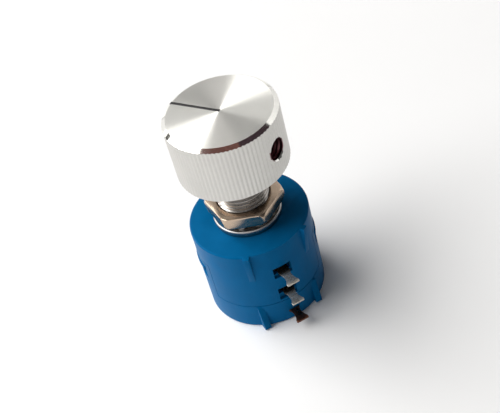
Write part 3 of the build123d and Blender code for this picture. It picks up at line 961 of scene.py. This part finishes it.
def screw_hole(settings):
    """Tapped and countersunk hole, as the solid that it takes out of the knob."""
    radius = settings.hole_radius
    countersink = 0.15 * MM
    mouth = outer_radius("knob") - countersink
    far = outer_radius("knob") + BEYOND
    grooves = 0.12 * MM
    inner_end = 2 * MM
    outline = [(0, inner_end), (radius, inner_end)]
    height = 2 * inner_end
    while height + settings.screw_pitch < mouth:
        half = settings.screw_pitch / 2
        outline += [(radius, height), (radius + grooves, height + half)]
        height += settings.screw_pitch
    outline += [(radius, mouth - countersink), (radius + 2 * countersink, mouth + countersink)]
    outline += [(radius + 2 * countersink, far), (0, far)]
    rod = lathe("tap", outline, 48)
    return radial(rod, settings.screw_azimuth, mid_z("set_screw"))


def pointer_groove(settings):
    """Solid that the engraved pointer takes out of the knob's face."""
    high = high_z("knob")
    half = settings.pointer_width / 2
    reach = outer_radius("knob") + BEYOND
    low_corner = (-half / 2, -half, high - settings.pointer_depth)
    return bar("groove", low_corner, (reach, half, high + BEYOND), settings.pointer_azimuth)


def pointer_fill(settings):
    """Paint that fills the engraved pointer to just below the face."""
    high = high_z("knob")
    half = settings.pointer_width / 2
    gap = 0.002 * MM
    sunk = 0.03 * MM
    buried = 0.05 * MM
    slope = settings.chamfer_width / settings.chamfer_height
    face_radius = outer_radius("knob") - settings.chamfer_width
    reach = face_radius + (settings.pointer_depth - buried) * slope
    low_corner = (-half / 2 + gap, -half + gap, high - settings.pointer_depth)
    return bar("pointer", low_corner, (reach, half - gap, high - sunk), settings.pointer_azimuth)


def paint_knob_faces(mesh, settings):
    """Side, face and chamfer each get their own finish."""
    high = high_z("knob")
    face_radius = outer_radius("knob") - settings.chamfer_width
    slack = 0.01 * MM
    groove_depth = 0.1 * MM
    least_rise = 0.4
    drilled = direction(settings.screw_azimuth, 0)
    level = UP * mid_z("set_screw")
    for face in mesh.polygons:
        along = (face.center - level).dot(drilled)
        off_axis = (face.center - level - drilled * along).length
        if along > 0 and off_axis < settings.hole_radius + groove_depth:
            face.material_index = TAPPED
        elif face.center.z > high - slack:
            face.material_index = FACE
        elif face.normal.z > least_rise and face.center.xy.length > face_radius:
            face.material_index = CHAMFER
        else:
            face.material_index = SIDE


class POT_OT_shaft(Operator):
    """Make the slotted shaft, the retaining ring and the set screw"""

    bl_idname = "pot.shaft"
    bl_label = "Shaft"

    def execute(self, context):
        edge = context.scene.pot_hardware.edge
        ground = plated_metal("shaft_steel", (0.6, 0.6, 0.58), 0.25, 0.1 * MM, 0.001 * MM)
        spring = strip_metal("ring_steel", (0.5, 0.49, 0.46), 0.3)
        black = plated_metal("screw_steel", (0.06, 0.05, 0.055), 0.35, 0.1 * MM, 0.002 * MM)
        shaft = broken_edges("shaft", edge)
        place("slotted_shaft", shaft, SHAFT_ASSEMBLY, [ground], ["shaft"])
        ring = broken_edges("retaining_ring", edge / 2)
        place("snap_ring", ring, SHAFT_ASSEMBLY, [spring], ["retaining_ring"])
        screw = broken_edges("set_screw", edge / 2)
        place("grub_screw", screw, SHAFT_ASSEMBLY, [black], ["set_screw"])
        return {"FINISHED"}


class POT_OT_terminals(Operator):
    """Make the three tinned solder lugs"""

    bl_idname = "pot.terminals"
    bl_label = "Solder lugs"

    def execute(self, context):
        settings = context.scene.pot_terminals
        # The lugs' inner ends are painted dark: painted shade in the housing's windows.
        tin = tinned_strip("tinned_strip", settings.tin, settings.painted_shade_radius)
        # The lowest lug gets a dark copper colour, darker than the tinned lugs.
        worn = strip_metal("dark_copper_strip", settings.copper, 0.3)
        for node, metal in (("terminal_ccw", tin), ("terminal_cw", tin), ("terminal_wiper", worn)):
            lug = broken_edges(node, settings.edge)
            place(node + "_lug", lug, HOUSING, [metal], [node])
        return {"FINISHED"}


class POT_OT_inside(Operator):
    """Give the rotor, the carriage, the element and the contacts their finishes"""

    bl_idname = "pot.inside"
    bl_label = "Inside"

    def execute(self, context):
        black = moulded_plastic("rotor_plastic", (0.02, 0.02, 0.022), 0.5)
        # The contacts' brass is painted very dark: painted shade for the inside of the housing,
        # seen through the windows.
        shaded_brass = strip_metal("contact_brass", (0.12, 0.07, 0.045), 0.35)
        wire = wound_wire("element_wire", (0.42, 0.3, 0.2))
        for node in ("rotor", "wiper_carriage"):
            paint_node(node, black)
        clips = ("element_clip_ccw", "element_clip_cw")
        for node in ("slip_ring", "wiper_contact", "collector_spring", *clips):
            paint_node(node, shaded_brass)
        paint_node("resistance_element", wire)
        return {"FINISHED"}


class POT_OT_stage(Operator):
    """Make the floor, the soft window light, the room and the camera"""

    bl_idname = "pot.stage"
    bl_label = "Stage"

    def execute(self, context):
        settings = context.scene.pot_stage
        scene = context.scene
        scene.view_settings.view_transform = "Standard"
        floor(settings)
        window(settings)
        glows = {"pale_card": settings.pale_glow, "grey_card": settings.grey_glow}
        for name, (azimuths, elevations, tone) in CARDS.items():
            card(name, azimuths, elevations, tone, glows.get(name, 0.0))
        room(scene, settings)
        camera(scene, settings)
        return {"FINISHED"}


def floor(settings):
    """Wide pale floor under the part."""
    model = bmesh.new()
    bmesh.ops.create_grid(model, x_segments=1, y_segments=1, size=4)
    mesh = finished(model, "floor")
    material, w, shader = new_material("floor_paper", settings.floor, 0.0, 0.6)
    grain = use_group(w, "Moulded Grain", grain_group, grain_size=0.5 * MM, patch_size=40 * MM)
    w.feed(shader["Base Color"], shaded(w, settings.floor, grain["Patches"], 0.995, 1.005))
    mesh.materials.append(material)
    sheet = linked("floor", mesh)
    sheet.location.z = -FLOOR_GAP


def direction(azimuth, elevation):
    """Unit vector towards an azimuth, counter-clockwise from +X, and an elevation."""
    flat = math.cos(elevation)
    return Vector((flat * math.cos(azimuth), flat * math.sin(azimuth), math.sin(elevation)))


def window(settings):
    """Large soft lamp that stands for a window."""
    lamp = bpy.data.lights.new("window", "AREA")
    lamp.shape = "RECTANGLE"
    lamp.size = settings.window_width
    lamp.size_y = settings.window_height
    lamp.energy = settings.window_power
    lamp.color = (1.0, 0.99, 0.97)
    holder = linked("window", lamp)
    towards = direction(settings.window_azimuth, settings.window_elevation)
    holder.location = towards * settings.window_distance
    holder.rotation_euler = towards.to_track_quat("Z", "Y").to_euler()


def card(name, azimuths, elevations, tone, glow):
    """Card round the part that only reflections show, between two azimuths and two elevations."""
    model = bmesh.new()
    steps = 12
    columns = []
    for step in range(steps + 1):
        azimuth = math.radians(azimuths[0] + (azimuths[1] - azimuths[0]) * step / steps)
        rays = (direction(azimuth, math.radians(elevation)) for elevation in elevations)
        columns.append([model.verts.new(ray * CARD_DISTANCE) for ray in rays])
    for left, right in zip(columns, columns[1:]):
        model.faces.new((left[0], right[0], right[1], left[1]))
    mesh = finished(model, name)
    material, w, shader = new_material(name, tone, 0.0, 0.9)
    grain = use_group(w, "Moulded Grain", grain_group, grain_size=2 * MM, patch_size=60 * MM)
    w.feed(shader["Base Color"], shaded(w, tone, grain["Patches"], 0.9, 1.1))
    shader["Emission Color"].default_value = (1, 1, 1, 1)
    shader["Emission Strength"].default_value = glow
    mesh.materials.append(material)
    sheet = linked(name, mesh)
    sheet.visible_camera = False
    sheet.visible_diffuse = False
    sheet.visible_shadow = False


def room(scene, settings):
    """Room with one pale side, white where the camera looks past the floor."""
    world = bpy.data.worlds.new("room")
    scene.world = world
    world.use_nodes = True
    w = Wiring(world.node_tree)
    background = world.node_tree.nodes["Background"]
    background.inputs["Color"].default_value = (1, 1, 1, 1)
    path = w.add("ShaderNodeLightPath").outputs
    seen = path["Is Camera Ray"]
    towards = direction(settings.pale_azimuth, settings.pale_elevation)
    outwards = w.add("ShaderNodeTexCoord").outputs["Generated"]
    facing = w.vector("DOT_PRODUCT", outwards, towards)
    pale_from, pale_to = -0.1, 0.2
    level = w.ramp(facing, pale_from, pale_to, settings.dim, settings.bright)
    times = w.ramp(path["Is Glossy Ray"], 0, 1, 1.0, settings.shine)
    w.feed(background.inputs["Strength"], w.math("MAXIMUM", w.math("MULTIPLY", level, times), seen))


def camera(scene, settings):
    """Camera above the near side, rolled a little."""
    data = bpy.data.cameras.new("camera")
    data.lens = settings.lens
    data.clip_start = 0.01
    data.clip_end = 20
    holder = linked("camera", data)
    back = direction(settings.azimuth - math.pi / 2, settings.elevation)
    level_right = UP.cross(back).normalized()
    turn = Matrix.Rotation(settings.roll, 3, back)
    right = turn @ level_right
    above = back.cross(right)
    aim = UP * settings.aim_height + right * settings.aim_right + above * settings.aim_up
    axes = Matrix((right, above, back)).transposed()
    holder.matrix_world = Matrix.Translation(aim + back * settings.distance) @ axes.to_4x4()
    scene.camera = holder


# ---------------------------------------------------------------- panel and registration

PIECE_OPERATORS = (
    POT_OT_housing,
    POT_OT_bushing,
    POT_OT_hardware,
    POT_OT_knob,
    POT_OT_shaft,
    POT_OT_terminals,
    POT_OT_inside,
    POT_OT_stage,
)
SETTINGS = {
    "pot_housing": PotHousingSettings,
    "pot_bushing": PotBushingSettings,
    "pot_hardware": PotHardwareSettings,
    "pot_knob": PotKnobSettings,
    "pot_terminals": PotTerminalSettings,
    "pot_stage": PotStageSettings,
}


class POT_PT_panel(Panel):
    bl_idname = "POT_PT_panel"
    bl_label = "Ten-Turn Potentiometer"
    bl_space_type = "VIEW_3D"
    bl_region_type = "UI"
    bl_category = "Potentiometer"

    def draw(self, context):
        for operator in PIECE_OPERATORS:
            self.layout.operator(operator.bl_idname)
        for name in SETTINGS:
            box = self.layout.box()
            settings = getattr(context.scene, name)
            for key in settings.__annotations__:
                box.prop(settings, key)


def register():
    for item in (*SETTINGS.values(), *PIECE_OPERATORS, POT_PT_panel):
        bpy.utils.register_class(item)
    for name, settings in SETTINGS.items():
        setattr(bpy.types.Scene, name, PointerProperty(type=settings))


def unregister():
    for name in SETTINGS:
        delattr(bpy.types.Scene, name)
    for item in reversed((*SETTINGS.values(), *PIECE_OPERATORS, POT_PT_panel)):
        bpy.utils.unregister_class(item)


def main():
    register()
    for operator in PIECE_OPERATORS:
        group, name = operator.bl_idname.split(".")
        getattr(getattr(bpy.ops, group), name)()


if __name__ == "__main__":
    main()
